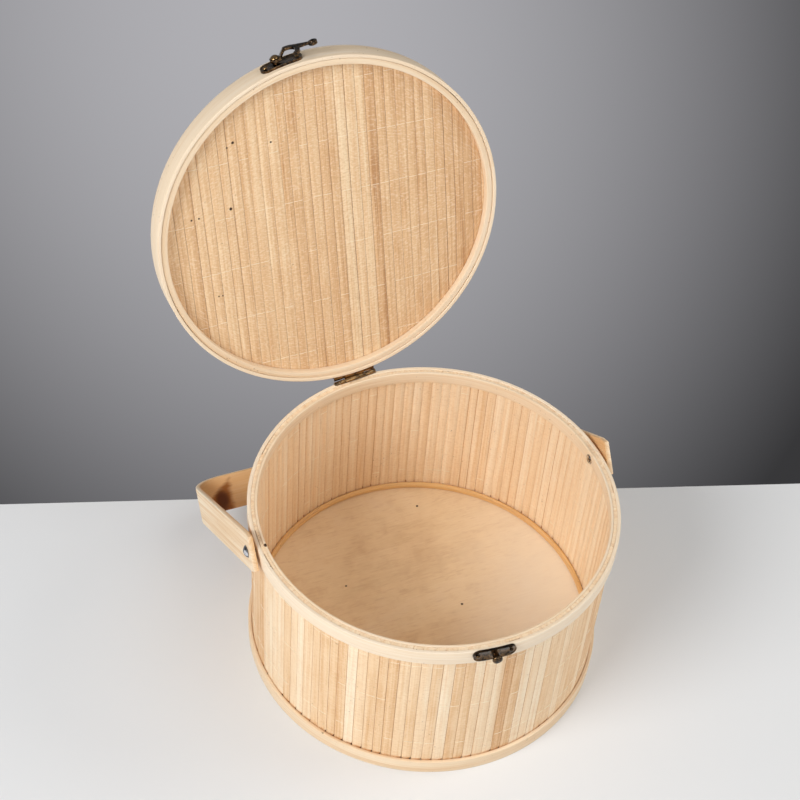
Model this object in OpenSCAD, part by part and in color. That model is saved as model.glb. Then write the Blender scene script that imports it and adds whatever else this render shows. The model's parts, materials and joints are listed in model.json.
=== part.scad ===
// Round bamboo-slat basket with a hinged slat lid, a swing-hook latch and a
// bent strip bail handle.
// Frame: millimetres, +Z up, the latch faces -Y and the hinge is at +Y. The
// origin is on the basket's axis at the underside. The lid is drawn open and
// the handle laid back until it lies on the wall.

/* [Basket] */
// outside diameter over the hoops
basket_d = 220; // [190:0.5:240]
// height from the underside to the top of the rim
basket_h = 121; // [100:0.5:140]
// number of upright slats round the wall, an even number
slat_count = 112; // [104:2:116]
// thickness of a wall slat
wall_t = 2; // [1.6:0.1:2.4]
// gap between neighbouring slats at their inner faces
slat_gap = 0.25; // [0.15:0.05:0.5]
// bevel along the outer edges of every slat
slat_bevel = 0.5; // [0.2:0.1:0.7]

/* [Hoops] */
// height of the outer hoops at the rim and at the foot
hoop_h = 10.4; // [10:0.1:13]
// thickness of the outer hoops
hoop_t = 2.2; // [1.8:0.1:2.6]
// height of the inner band at the rim
band_h = 8.4; // [8.2:0.1:10]
// thickness of the inner band at the rim
band_t = 1.6; // [1.2:0.1:2]
// bevel of the hoop edges
hoop_bevel = 0.4; // [0.2:0.05:0.6]

/* [Floor] */
// height of the floor board's underside
floor_z = 7.5; // [5:0.5:10]
// thickness of the plywood floor board
floor_t = 4; // [3:0.5:5]
// width of the bead ring on the floor's edge
bead_w = 2.8; // [2:0.2:4]
// height of the bead ring
bead_h = 4.2; // [3:0.2:6]
// width of the foot ring under the board
foot_w = 5; // [4:0.5:8]

/* [Lid] */
// how far the lid's hoop stands in from the basket's rim
lid_inset = 4; // [3.4:0.1:5]
// height of the lid's outer hoop
lid_h = 15.6; // [14.8:0.1:18]
// thickness of the lid's outer hoop
lid_hoop_t = 2.2; // [1.8:0.1:2.6]
// thickness of the inner ring of the lid
lid_ring_t = 3.8; // [3:0.1:4.4]
// depth of the lid's inside below the slat panel
lid_recess = 5.6; // [5:0.2:7]
// pitch of the lid's slats
lid_pitch = 6; // [5.6:0.1:6.4]
// turn of the lid's slats from straight back, in degrees
slat_turn = 8; // [0:1:12]
// thickness of a lid slat
lid_slat_t = 1.5; // [1.2:0.1:1.6]
// thickness of the board between the two slat layers
lid_core_t = 2; // [1.5:0.1:2.4]
// angle that the lid stands open
lid_open = 103; // [95:1:105]

/* [Hinge] */
// length of the hinge barrel
hinge_w = 28; // [26:0.5:30]
// height of each hinge leaf
leaf_h = 9; // [8:0.5:10]
// thickness of the hinge leaves
leaf_t = 0.7; // [0.6:0.1:0.8]
// outside diameter of the knuckles
barrel_d = 2.8; // [2.6:0.1:3.2]
// diameter of the hinge pin
hinge_pin_d = 1.3; // [1.2:0.1:1.4]
// how far in from the rim's face the middle of the barrel is let
barrel_in = 0.8; // [0.6:0.1:1]
// how far the hinge sits round the rim from the middle, in degrees
skew = 4.8; // [4:0.1:5.5]
// lean of the hinge pin in degrees
cant = 3.7; // [3:0.1:4]

/* [Latch] */
// length of the keeper plate and of the hook's plate
plate_l = 25; // [24:0.5:27]
// height of both plates
plate_h = 8.4; // [8:0.1:8.8]
// thickness of both plates
plate_t = 1.6; // [1.4:0.1:1.8]
// how far the keeper sits round the rim from the middle, in degrees
keeper_turn = 5.2; // [4.6:0.1:6]
// height of the keeper's middle below the rim
keeper_drop = 3; // [2.8:0.1:3.6]
// diameter of the knob's neck
neck_d = 3.8; // [3.4:0.1:4]
// diameter of the knob's head
knob_d = 5.8; // [5.4:0.1:6]
// how far the knob stands out from its plate
knob_l = 5; // [4.6:0.1:6]
// distance of the hook plate's middle from the knob, along the rim
plate_side = 4.2; // [3.8:0.1:4.6]
// distance of the hook's pivot from the knob, along the rim
pivot_side = 1.6; // [1.2:0.1:2]
// height of the hook's pivot above the lid's lower edge
pivot_rise = 7.2; // [6.8:0.1:7.6]
// angle below its plate's length at which the raised hook stands
hook_rest = 20; // [15:1:22]
// thickness of the hook
hook_t = 1.6; // [1.4:0.1:1.8]
// width of the hook's bowed claw
claw_w = 2.6; // [2.2:0.1:2.8]
// diameter of the hook's eye
eye_d = 6; // [5.8:0.1:6.4]
// distance from the pivot to the middle of the finger pad
tail_l = 22.7; // [21:0.1:24]
// diameter of the finger pad
pad_d = 5.2; // [4.8:0.1:5.6]

/* [Handle] */
// width of the bent handle strip
strip_w = 23.5; // [21:0.5:25]
// thickness of the handle strip
strip_t = 3; // [2.6:0.1:3.4]
// length of the handle from its rivets to the outer face of its top
handle_l = 141; // [138:1:148]
// outside radius of the handle's bends
bend_r = 20; // [16:1:26]
// length of the strip's ends past the rivets
strip_end = 8.5; // [7:0.5:10]
// corner radius of the strip's ends
strip_round = 1.3; // [1:0.1:3]
// space between the rim and each arm of the handle
arm_gap = 1.7; // [1:0.1:2]
// diameter of the rivet shanks
rivet_d = 3.6; // [3.2:0.1:3.8]
// diameter of the rivet heads
rivet_head_d = 7.4; // [7:0.1:8.5]
// depth of the rivets below the rim
rivet_drop = 5.6; // [5.2:0.1:5.6]

/* [Hidden] */
$fn = 96;
// clearance between parts that move past each other
move_gap = 0.4;
// radial clearance of a pin that turns in its bore
run_gap = 0.05;
// clearance between the rim and the closed lid
lid_gap = 0.3;
// small clearance between curved wooden pieces that are glued together
glue_gap = 0.05;

basket_r = basket_d / 2;
pitch_a = 360 / slat_count;
hoop_ri = basket_r - hoop_t;
slat_w = 2 * (hoop_ri - wall_t) * tan(pitch_a / 2) - slat_gap;
slat_r = sqrt(hoop_ri * hoop_ri - slat_w * slat_w / 4) - glue_gap;
wall_ri = slat_r - wall_t;
band_ri = wall_ri - glue_gap - band_t;
floor_r = wall_ri - glue_gap;

lid_r = basket_r - lid_inset;
lid_hoop_ri = lid_r - lid_hoop_t;
lid_ring_ri = lid_hoop_ri - lid_ring_t;
lid_z = basket_h + lid_gap;
lid_panel_r = lid_hoop_ri - glue_gap;
lid_slats = 2 * floor(lid_panel_r / lid_pitch) + 1;
lid_slat_w = lid_pitch - slat_gap;

barrel_y = basket_r - barrel_in;
barrel_z = basket_h + 0.05;
knuckle_side = hinge_w / 4;
knuckle_mid = hinge_w / 2 - 2 * move_gap;

keeper_z = basket_h - keeper_drop;
hook_rise = lid_z + pivot_rise - keeper_z;
hook_reach = sqrt(pivot_side * pivot_side + hook_rise * hook_rise);
hook_y = basket_r + plate_t + move_gap;
eye_y = lid_r + plate_t + move_gap + 1;
neck_l = hook_y + hook_t + move_gap - basket_r - plate_t;
// the claw's inner bow: its end clears the neck as the hook turns
claw_gap = neck_d / 2 + move_gap;
claw_ri = 4.5;
claw_x = hook_reach + claw_gap - claw_ri - 0.1;
claw_y = -2.1;
hook_plate_a = asin(plate_side / lid_r) - keeper_turn;

rivet_z = basket_h - rivet_drop;
rivet_y = hoop_ri * sin(pitch_a / 2);
arm_x = basket_r + arm_gap;
// the handle's angle below level at which its top just lies on the wall
lay_a = handle_l - strip_t;
lay_b = strip_w / 2;
lay_c = hoop_ri + move_gap - rivet_y;
handle_lay = acos(lay_c / sqrt(lay_a * lay_a + lay_b * lay_b)) - atan2(lay_b, lay_a);

// ---- shared shapes ----

// a flat strip bent into a hoop, with its four long edges bevelled
module hoop(ro, t, h, b) {
    rotate_extrude($fn = 180)
        polygon([[ro - t + b, 0], [ro - b, 0], [ro, b], [ro, h - b],
            [ro - b, h], [ro - t + b, h], [ro - t, h - b], [ro - t, b]]);
}

// bar with round ends, drawn flat and centred
module stadium(l, h) {
    square([l - h, h], center = true);
    for (s = [-1, 1])
        translate([s * (l - h) / 2, 0])
            circle(d = h);
}

// flat outline with four rounded corners
module rounded_rect(l, h, r) {
    square([l, h - 2 * r], center = true);
    square([l - 2 * r, h], center = true);
    for (sx = [-1, 1])
        for (sy = [-1, 1])
            translate([sx * (l / 2 - r), sy * (h / 2 - r)])
                circle(r = r);
}

// plate of a given outline wrapped on a hoop of radius r, facing -Y
module wrapped(r, t, h) {
    intersection() {
        difference() {
            cylinder(r = r + t, h = h, center = true, $fn = 180);
            cylinder(r = r, h = h + 2, center = true, $fn = 180);
        }
        rotate([90, 0, 0])
            translate([0, 0, r - 4])
                linear_extrude(10)
                    children();
    }
}

// low domed head with its flat side on the ground plane
module dome(d, h) {
    rs = (d * d / 4 + h * h) / (2 * h);
    intersection() {
        translate([0, 0, h - rs])
            sphere(r = rs);
        cylinder(d = d, h = h);
    }
}

// nail with a domed head, its shank reaching l below the head
module nail(l) {
    dome(2.4, 0.7);
    translate([0, 0, -l])
        cylinder(d = 1.1, h = l, $fn = 24);
}

// places a child on a hoop of radius r at height z, looking out along -Y,
// turned a degrees round the rim
module on_hoop(r, a, z) {
    rotate([0, 0, a])
        translate([0, -r, z])
            rotate([90, 0, 0])
                children();
}

// the hinge's own frame: X along the pin, Y outwards
module at_hinge() {
    rotate([0, 0, skew])
        translate([0, barrel_y, barrel_z])
            rotate([0, -cant, 0])
                children();
}

// swings the closed lid and what is on it to where it stands open
module lid_opened() {
    at_hinge()
        rotate([-lid_open, 0, 0])
            rotate([0, cant, 0])
                translate([0, -barrel_y, -barrel_z])
                    rotate([0, 0, -skew])
                        children();
}

// ---- basket ----

module base_board() {
    color("#d8b48a")
        translate([0, 0, floor_z])
            cylinder(r = floor_r, h = floor_t, $fn = 180);
}

module floor_bead() {
    color("#d9b078")
        translate([0, 0, floor_z + floor_t])
            rotate_extrude($fn = 180)
                union() {
                    translate([floor_r - bead_w, 0])
                        square([bead_w, bead_h - bead_w / 2]);
                    translate([floor_r - bead_w / 2, bead_h - bead_w / 2])
                        circle(d = bead_w, $fn = 24);
                }
}

module foot_ring() {
    color("#caa06c")
        hoop(floor_r, foot_w, floor_z, hoop_bevel);
}

module wall_slats() {
    color("#e6cda0")
        difference() {
            for (i = [0 : slat_count - 1])
                rotate([0, 0, (i + 0.5) * pitch_a])
                    wall_slat();
            rivet_bores();
            barrel_notch();
        }
}

// one upright slat, its bark side outwards with bevelled edges
module wall_slat() {
    w = slat_w / 2;
    translate([0, 0, 0.4])
        linear_extrude(basket_h - 0.8)
            polygon([[wall_ri, -w], [slat_r - slat_bevel, -w],
                [slat_r, slat_bevel - w], [slat_r, w - slat_bevel],
                [slat_r - slat_bevel, w], [wall_ri, w]]);
}

module foot_hoop() {
    color("#ead2a4")
        hoop(basket_r, hoop_t, hoop_h, hoop_bevel);
}

module rim_hoop() {
    color("#ead2a4")
        difference() {
            translate([0, 0, basket_h - hoop_h])
                hoop(basket_r, hoop_t, hoop_h, hoop_bevel);
            rivet_bores();
            barrel_notch();
        }
}

module rim_band() {
    color("#e2c08c")
        difference() {
            translate([0, 0, basket_h - band_h])
                hoop(wall_ri - glue_gap, band_t, band_h, hoop_bevel);
            rivet_bores();
        }
}

// the bores that take the two handle rivets
module rivet_bores() {
    translate([0, rivet_y, rivet_z])
        rotate([0, 90, 0])
            cylinder(d = rivet_d, h = basket_d + 20, center = true);
}

// notch in the rim that the hinge's barrel is let into
module barrel_notch() {
    at_hinge()
        rotate([0, 90, 0])
            cylinder(r = barrel_d / 2 + move_gap, h = hinge_w + 2 * move_gap, center = true);
}

module handle_rivets() {
    color("#c9ccd0")
        for (s = [-1, 1])
            translate([0, rivet_y, rivet_z])
                rotate([0, s * 90, 0])
                    rivet();
}

// rivet with a flat head inside the rim and a domed head on the strip
module rivet() {
    head_in = band_ri - 0.1;
    head_out = arm_x + strip_t + move_gap;
    translate([0, 0, head_in - 0.1])
        cylinder(d = rivet_d, h = head_out - head_in + 0.2);
    translate([0, 0, head_in])
        rotate([180, 0, 0])
            dome(rivet_head_d - 1, 1.2);
    translate([0, 0, head_out])
        dome(rivet_head_d, 1.8);
}

// ---- latch keeper on the basket ----

module keeper_plate() {
    color("#3a3027")
        difference() {
            rotate([0, 0, -keeper_turn])
                translate([0, 0, keeper_z])
                    wrapped(basket_r, plate_t, 3 * plate_h)
                        stadium(plate_l, plate_h);
            nail_bores(basket_r, -keeper_turn, keeper_z);
            on_hoop(basket_r - 1, -keeper_turn, keeper_z)
                cylinder(d = neck_d, h = 6);
        }
}

// the two nail holes near the ends of a latch plate that sits at angle a
module nail_bores(r, a, z) {
    for (s = [-1, 1])
        on_hoop(r - 1, s * nail_a(r) + a, z)
            cylinder(d = 1.2, h = 6, $fn = 24);
}

module plate_nails(r, a, z) {
    for (s = [-1, 1])
        on_hoop(r + plate_t, s * nail_a(r) + a, z)
            nail(plate_t);
}

function nail_a(r) = asin((plate_l / 2 - 3) / r);

module keeper_nails() {
    color("#4a3c2e")
        plate_nails(basket_r, -keeper_turn, keeper_z);
}

// knob that the claw hooks round: a neck with a thicker round head
module keeper_knob() {
    color("#3a3027")
        on_hoop(basket_r, -keeper_turn, keeper_z)
            rotate_extrude()
                polygon([[0, 0.1], [neck_d / 2, 0.1], [neck_d / 2, plate_t + neck_l],
                    [knob_d / 2, plate_t + neck_l + 0.5],
                    [knob_d / 2, plate_t + knob_l - 1],
                    [knob_d / 2 - 0.6, plate_t + knob_l - 0.3],
                    [knob_d / 2 - 1.6, plate_t + knob_l], [0, plate_t + knob_l]]);
}

// ---- hinge ----

module hinge_body_leaf() {
    color("#40352a")
        difference() {
            union() {
                rotate([0, 0, 180 + skew])
                    translate([0, 0, barrel_z - leaf_h / 2 - barrel_d / 2])
                        wrapped(basket_r, leaf_t, 3 * leaf_h)
                            rounded_rect(hinge_w, leaf_h, 1.2);
                for (s = [-1, 1])
                    at_hinge()
                        side_knuckle(s);
            }
            leaf_bores(basket_r, barrel_z - leaf_h / 2 - barrel_d / 2);
            at_hinge()
                rotate([0, 90, 0]) {
                    cylinder(d = hinge_pin_d, h = hinge_w + 4, center = true);
                    cylinder(r = barrel_d / 2 + move_gap, h = knuckle_mid + move_gap, center = true);
                }
        }
}

// outer knuckle, rolled from a tongue of the body leaf
module side_knuckle(s) {
    translate([s * (hinge_w - knuckle_side) / 2, 0, 0]) {
        rotate([0, 90, 0])
            cylinder(d = barrel_d, h = knuckle_side, center = true);
        translate([-knuckle_side / 2, basket_r + 0.12 - barrel_y, -barrel_d])
            cube([knuckle_side, leaf_t - 0.2, barrel_d]);
    }
}

// two nail holes through a hinge leaf
module leaf_bores(r, z) {
    for (s = [-1, 1])
        on_hoop(r - 1, 180 + skew + s * leaf_a(r), z)
            cylinder(d = 1.2, h = 6, $fn = 24);
}

module leaf_nails(r, z) {
    for (s = [-1, 1])
        on_hoop(r + leaf_t, 180 + skew + s * leaf_a(r), z)
            nail(leaf_t);
}

function leaf_a(r) = asin(hinge_w / 3.2 / r);

module hinge_body_nails() {
    color("#4a3c2e")
        leaf_nails(basket_r, barrel_z - leaf_h / 2 - barrel_d / 2);
}

module hinge_pin() {
    color("#5a4a38")
        at_hinge()
            rotate([0, 90, 0])
                cylinder(d = hinge_pin_d, h = hinge_w + 0.6, center = true);
}

module hinge_lid_leaf() {
    color("#40352a")
        lid_opened()
            difference() {
                union() {
                    rotate([0, 0, 180 + skew])
                        translate([0, 0, lid_z + leaf_h / 2 + 0.4])
                            wrapped(lid_r, leaf_t, 3 * leaf_h)
                                rounded_rect(hinge_w, leaf_h, 1.2);
                    rotate([0, 0, skew])
                        translate([-knuckle_mid / 2, lid_r - 0.05, lid_z + 0.4])
                            cube([knuckle_mid, barrel_y - lid_r, leaf_t]);
                    at_hinge()
                        rotate([0, 90, 0])
                            cylinder(d = barrel_d, h = knuckle_mid, center = true);
                }
                leaf_bores(lid_r, lid_z + leaf_h / 2 + 0.4);
                cylinder(r = lid_r, h = 3 * basket_h, $fn = 180);
                at_hinge()
                    rotate([0, 90, 0])
                        cylinder(d = hinge_pin_d + 2 * run_gap, h = hinge_w, center = true);
            }
}

module hinge_lid_nails() {
    color("#4a3c2e")
        lid_opened()
            leaf_nails(lid_r, lid_z + leaf_h / 2 + 0.4);
}

// ---- lid ----

module lid_hoop() {
    color("#ead2a4")
        lid_opened()
            translate([0, 0, lid_z])
                hoop(lid_r, lid_hoop_t, lid_h, hoop_bevel);
}

module lid_ring() {
    color("#e2c08c")
        lid_opened()
            translate([0, 0, lid_z + 0.4])
                hoop(lid_hoop_ri - glue_gap, lid_ring_t, lid_recess - 0.4, hoop_bevel);
}

module lid_core() {
    color("#caa06c")
        lid_opened()
            translate([0, 0, lid_z + lid_recess + lid_slat_t])
                cylinder(r = lid_panel_r, h = lid_core_t, $fn = 180);
}

module lid_under_slats() {
    color("#e6cda0")
        lid_opened()
            translate([0, 0, lid_z + lid_recess])
                slat_disc(1);
}

module lid_top_slats() {
    color("#e6cda0")
        lid_opened()
            translate([0, 0, lid_z + lid_recess + lid_slat_t + lid_core_t])
                slat_disc(0);
}

// mat of straight slats cut to a round, bevelled on the under or upper side
module slat_disc(under) {
    w = lid_slat_w / 2;
    b = slat_bevel;
    h = lid_slat_t;
    intersection() {
        rotate([0, 0, slat_turn])
            for (i = [-(lid_slats - 1) / 2 : (lid_slats - 1) / 2])
                translate([i * lid_pitch, lid_panel_r, 0])
                    rotate([90, 0, 0])
                        linear_extrude(2 * lid_panel_r)
                            polygon(under == 1
                                ? [[b - w, 0], [w - b, 0], [w, b], [w, h], [-w, h], [-w, b]]
                                : [[-w, 0], [w, 0], [w, h - b], [w - b, h], [b - w, h], [-w, h - b]]);
        cylinder(r = lid_panel_r, h = 3 * h, center = true, $fn = 180);
    }
}

// ---- hook ----

module hook_plate() {
    color("#3a3027")
        lid_opened()
            difference() {
                rotate([0, 0, hook_plate_a])
                    translate([0, 0, keeper_z + hook_rise])
                        wrapped(lid_r, plate_t, 3 * plate_h)
                            stadium(plate_l, plate_h);
                nail_bores(lid_r, hook_plate_a, keeper_z + hook_rise);
                at_pivot()
                    translate([0, 0, lid_r - hook_y - 4])
                        cylinder(d = 3, h = 12);
            }
}

// the hook's pivot frame on the closed lid: X along the rim, Z outwards from
// the plane in which the claw swings
module at_pivot() {
    rotate([0, 0, -keeper_turn])
        translate([pivot_side, -hook_y, keeper_z + hook_rise])
            rotate([90, 0, 0])
                children();
}

// stepped post that carries the hook, riveted over on its outside
module hook_post() {
    base = lid_r + glue_gap - hook_y;
    eye = eye_y - hook_y;
    color("#4a3c2e")
        lid_opened()
            at_pivot() {
                translate([0, 0, base])
                    cylinder(d = 3, h = eye - base + hook_t + move_gap + 0.1);
                translate([0, 0, base + plate_t + 0.05])
                    cylinder(d = 4.6, h = eye - base - plate_t - 0.05 - move_gap);
                translate([0, 0, eye + hook_t + move_gap])
                    dome(5, 1.3);
            }
}

module hook_plate_nails() {
    color("#4a3c2e")
        lid_opened()
            plate_nails(lid_r, hook_plate_a, keeper_z + hook_rise);
}

module hook() {
    color("#3a3027")
        lid_opened()
            at_pivot()
                rotate([0, 0, -hook_rest])
                    difference() {
                        union() {
                            intersection() {
                                translate([0, 0, -10])
                                    linear_extrude(20)
                                        hook_outline();
                                hook_crank();
                            }
                            translate([tail_l, pad_rise(), hook_t / 2])
                                sphere(d = pad_d - 1.4);
                        }
                        translate([0, 0, eye_y - hook_y - 1])
                            cylinder(d = 3 + 2 * run_gap, h = hook_t + 2);
                    }
}

function pad_rise() = 2.2;

// the hook seen on edge: a low eye, a short slope and the raised claw
module hook_crank() {
    e = eye_y - hook_y;
    translate([0, 20, 0])
        rotate([90, 0, 0])
            linear_extrude(40)
                polygon([[-eye_d, e], [eye_d / 2 + 0.2, e], [eye_d / 2 + 3.2, 0], [tail_l + pad_d, 0],
                    [tail_l + pad_d, hook_t], [eye_d / 2 + 2.4, hook_t],
                    [eye_d / 2 - 0.6, e + hook_t], [-eye_d, e + hook_t]]);
}

// eye, bowed claw and tail, with the pivot at the origin
module hook_outline() {
    ro = claw_ri + claw_w;
    difference() {
        union() {
            circle(d = eye_d);
            translate([claw_x, claw_y])
                circle(r = ro);
            polygon([[claw_x + 2, claw_y + ro - 0.4], [claw_x + ro - 1, claw_y + 3.2],
                [tail_l - 4, pad_rise() - 0.3], [tail_l, pad_rise() - 0.7],
                [tail_l, pad_rise() + 0.7], [tail_l - 4, pad_rise() + 1]]);
        }
        translate([claw_x, claw_y])
            circle(r = claw_ri);
        // the way by which the neck enters the claw
        intersection() {
            difference() {
                circle(r = hook_reach + claw_gap);
                circle(r = eye_d / 2 + 0.6);
            }
            translate([eye_d / 2, claw_y - 20])
                square([20, 20]);
        }
        translate([eye_d / 2 - 4, claw_y - 20])
            square([claw_x - eye_d / 2 + 4, 20]);
        translate([-eye_d, claw_y - ro - 9.6])
            square([40, ro + 6]);
    }
    circle(d = eye_d);
    translate([tail_l, pad_rise()])
        circle(d = pad_d);
}

// ---- handle ----

module handle_strip() {
    color("#e2c08c")
        translate([0, rivet_y, rivet_z])
            rotate([-handle_lay, 0, 0])
                difference() {
                    translate([0, 0, -strip_w / 2])
                        linear_extrude(strip_w)
                            handle_profile();
                    rotate([0, 90, 0])
                        cylinder(d = rivet_d + 2 * run_gap, h = basket_d + 20, center = true);
                    for (s = [-1, 1])
                        for (t = [-1, 1])
                            end_rounding(s, t);
                }
}

// the strip seen on edge: two straight arms and a level top with round bends
module handle_profile() {
    ro = bend_r;
    ri = bend_r - strip_t;
    xo = arm_x + strip_t;
    difference() {
        union() {
            translate([-xo, -strip_end])
                square([2 * xo, handle_l - ro + strip_end]);
            translate([ro - xo, 0])
                square([2 * (xo - ro), handle_l]);
            for (s = [-1, 1])
                translate([s * (xo - ro), handle_l - ro])
                    circle(r = ro);
        }
        translate([-arm_x, -strip_end - 1])
            square([2 * arm_x, handle_l - ro + strip_end + 1]);
        translate([ro - xo, -strip_end - 1])
            square([2 * (xo - ro), handle_l - strip_t + strip_end + 1]);
        for (s = [-1, 1])
            translate([s * (xo - ro), handle_l - ro])
                circle(r = ri);
    }
}

// rounds one corner of a strip end
module end_rounding(s, t) {
    r = strip_round;
    translate([s * (arm_x + strip_t / 2), -strip_end, t * strip_w / 2])
        rotate([0, 90, 0])
            difference() {
                cube([2 * r, 2 * r, strip_t + 2], center = true);
                translate([t * r, r, 0])
                    cylinder(r = r, h = strip_t + 4, center = true);
            }
}

base_board();
floor_bead();
foot_ring();
wall_slats();
foot_hoop();
rim_hoop();
rim_band();
handle_rivets();
keeper_plate();
keeper_knob();
keeper_nails();
hinge_body_leaf();
hinge_pin();
hinge_body_nails();
handle_strip();
lid_hoop();
lid_ring();
lid_core();
lid_under_slats();
lid_top_slats();
hinge_lid_leaf();
hinge_lid_nails();
hook_plate();
hook_post();
hook_plate_nails();
hook();
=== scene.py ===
"""Dresses the lidded bamboo slat basket: slats, hoops, threads, fittings, materials, light and camera."""
import json
import math
from collections import namedtuple

import bpy
import bmesh
import numpy as np
from mathutils import Matrix, Vector


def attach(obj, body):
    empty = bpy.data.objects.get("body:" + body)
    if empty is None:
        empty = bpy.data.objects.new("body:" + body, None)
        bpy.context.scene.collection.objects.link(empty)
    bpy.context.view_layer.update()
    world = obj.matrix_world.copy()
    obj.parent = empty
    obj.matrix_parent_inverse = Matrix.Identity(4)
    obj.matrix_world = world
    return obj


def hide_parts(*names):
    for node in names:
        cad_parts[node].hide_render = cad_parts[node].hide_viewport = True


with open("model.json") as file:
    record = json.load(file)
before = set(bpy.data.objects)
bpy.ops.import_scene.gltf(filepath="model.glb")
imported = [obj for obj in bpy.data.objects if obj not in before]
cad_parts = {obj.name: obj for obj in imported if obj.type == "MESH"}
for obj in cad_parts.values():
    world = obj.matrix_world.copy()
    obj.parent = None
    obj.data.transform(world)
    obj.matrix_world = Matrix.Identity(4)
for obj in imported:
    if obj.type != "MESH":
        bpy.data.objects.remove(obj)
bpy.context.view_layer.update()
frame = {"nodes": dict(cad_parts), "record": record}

NODES = frame["nodes"]
JOINTS = {j["name"]: j for j in frame["record"]["behaviour"]["joints"]}
MM = 0.001
ANY_PHASE = 6.28        # upper end of a random phase, about one full turn


# ---------------------------------------------------------------- sizes, read from the frame

def verts_of(node):
    """Vertices of a CAD node, in metres, as a (count, 3) array."""
    data = NODES[node].data
    co = np.empty(len(data.vertices) * 3)
    data.vertices.foreach_get("co", co)
    return co.reshape(-1, 3)


# the hinge turns the lid from where it stands open to where it lies shut
HINGE = JOINTS["lid_hinge"]
HINGE_POS = Vector(HINGE["pos_m"])
HINGE_AXIS = Vector(HINGE["axis"]).normalized()
SHUT = (Matrix.Translation(HINGE_POS)
        @ Matrix.Rotation(math.radians(HINGE["range_deg"][1]), 4, HINGE_AXIS)
        @ Matrix.Translation(-HINGE_POS))
OPEN = SHUT.inverted()


def moved(pts, matrix):
    """Points of shape (..., 3) carried by a 4x4 matrix."""
    m = np.array(matrix)
    return pts @ m[:3, :3].T + m[:3, 3]


def shut_verts(node):
    """Vertices of a lid node as they lie with the lid shut."""
    return moved(verts_of(node), SHUT)


Ring = namedtuple("Ring", "inner outer bottom top")


def ring_of(co):
    """Inner and outer radius, bottom and top of a ring on the basket's axis."""
    r = np.hypot(co[:, 0], co[:, 1])
    return Ring(r.min(), r.max(), co[:, 2].min(), co[:, 2].max())


RIM = ring_of(verts_of("rim_hoop"))
BAND = ring_of(verts_of("rim_band"))
FOOT = ring_of(verts_of("foot_hoop"))
BEAD = ring_of(verts_of("floor_bead"))
WALL = ring_of(verts_of("wall_slats"))
BOARD = ring_of(verts_of("base_board"))
LID = ring_of(shut_verts("lid_hoop"))
LID_RING = ring_of(shut_verts("lid_ring"))
LID_UNDER = ring_of(shut_verts("lid_under_slats"))
LID_TOP = ring_of(shut_verts("lid_top_slats"))

SLATS = 112                     # upright slats round the wall
PITCH = 2 * math.pi / SLATS
LID_PITCH = 6.0 * MM            # width of a lid slat with its gap
SLAT_TURN = Matrix.Rotation(math.radians(8), 4, "Z")    # lid slats against the line to the hinge
LID_PLACE = OPEN @ SLAT_TURN

GROOVE_R = 1.8 * MM             # the rim is let in round the hinge's barrel
GROOVE_HALF = 14.4 * MM
GROOVE_SIDE = Vector((HINGE_AXIS.y, -HINGE_AXIS.x, 0)).normalized()


def let_in(pts):
    """Lowers points that would stand inside the groove for the hinge's barrel."""
    flat = np.asarray(pts, float).reshape(-1, 3)
    rel = flat - np.array(HINGE_POS)
    along = rel[:, :2] @ np.array(HINGE_AXIS)[:2] / (1 - HINGE_AXIS.z ** 2)
    aside = rel[:, :2] @ np.array(GROOVE_SIDE)[:2]
    deep = HINGE_POS.z + along * HINGE_AXIS.z - np.sqrt(np.maximum(0, GROOVE_R ** 2 - aside ** 2))
    inside = (np.abs(along) <= GROOVE_HALF) & (np.abs(aside) < GROOVE_R) & (flat[:, 2] > deep)
    flat = flat.copy()
    flat[inside, 2] = deep[inside]
    return flat.reshape(np.shape(pts))


# ---------------------------------------------------------------- mesh building

def add_object(name, data):
    """A new object in the scene."""
    obj = bpy.data.objects.new(name, data)
    bpy.context.scene.collection.objects.link(obj)
    return obj


def fit(obj, body, node=None):
    """Says what a piece stands for: the body it rides on and the CAD node it replaces."""
    if node:
        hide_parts(node)
    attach(obj, body)


def shade(mesh, degrees):
    """Smooth faces with edges kept sharp above an angle."""
    mesh.polygons.foreach_set("use_smooth", [True] * len(mesh.polygons))
    mesh.set_sharp_from_angle(angle=math.radians(degrees))
    mesh.update()


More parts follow.
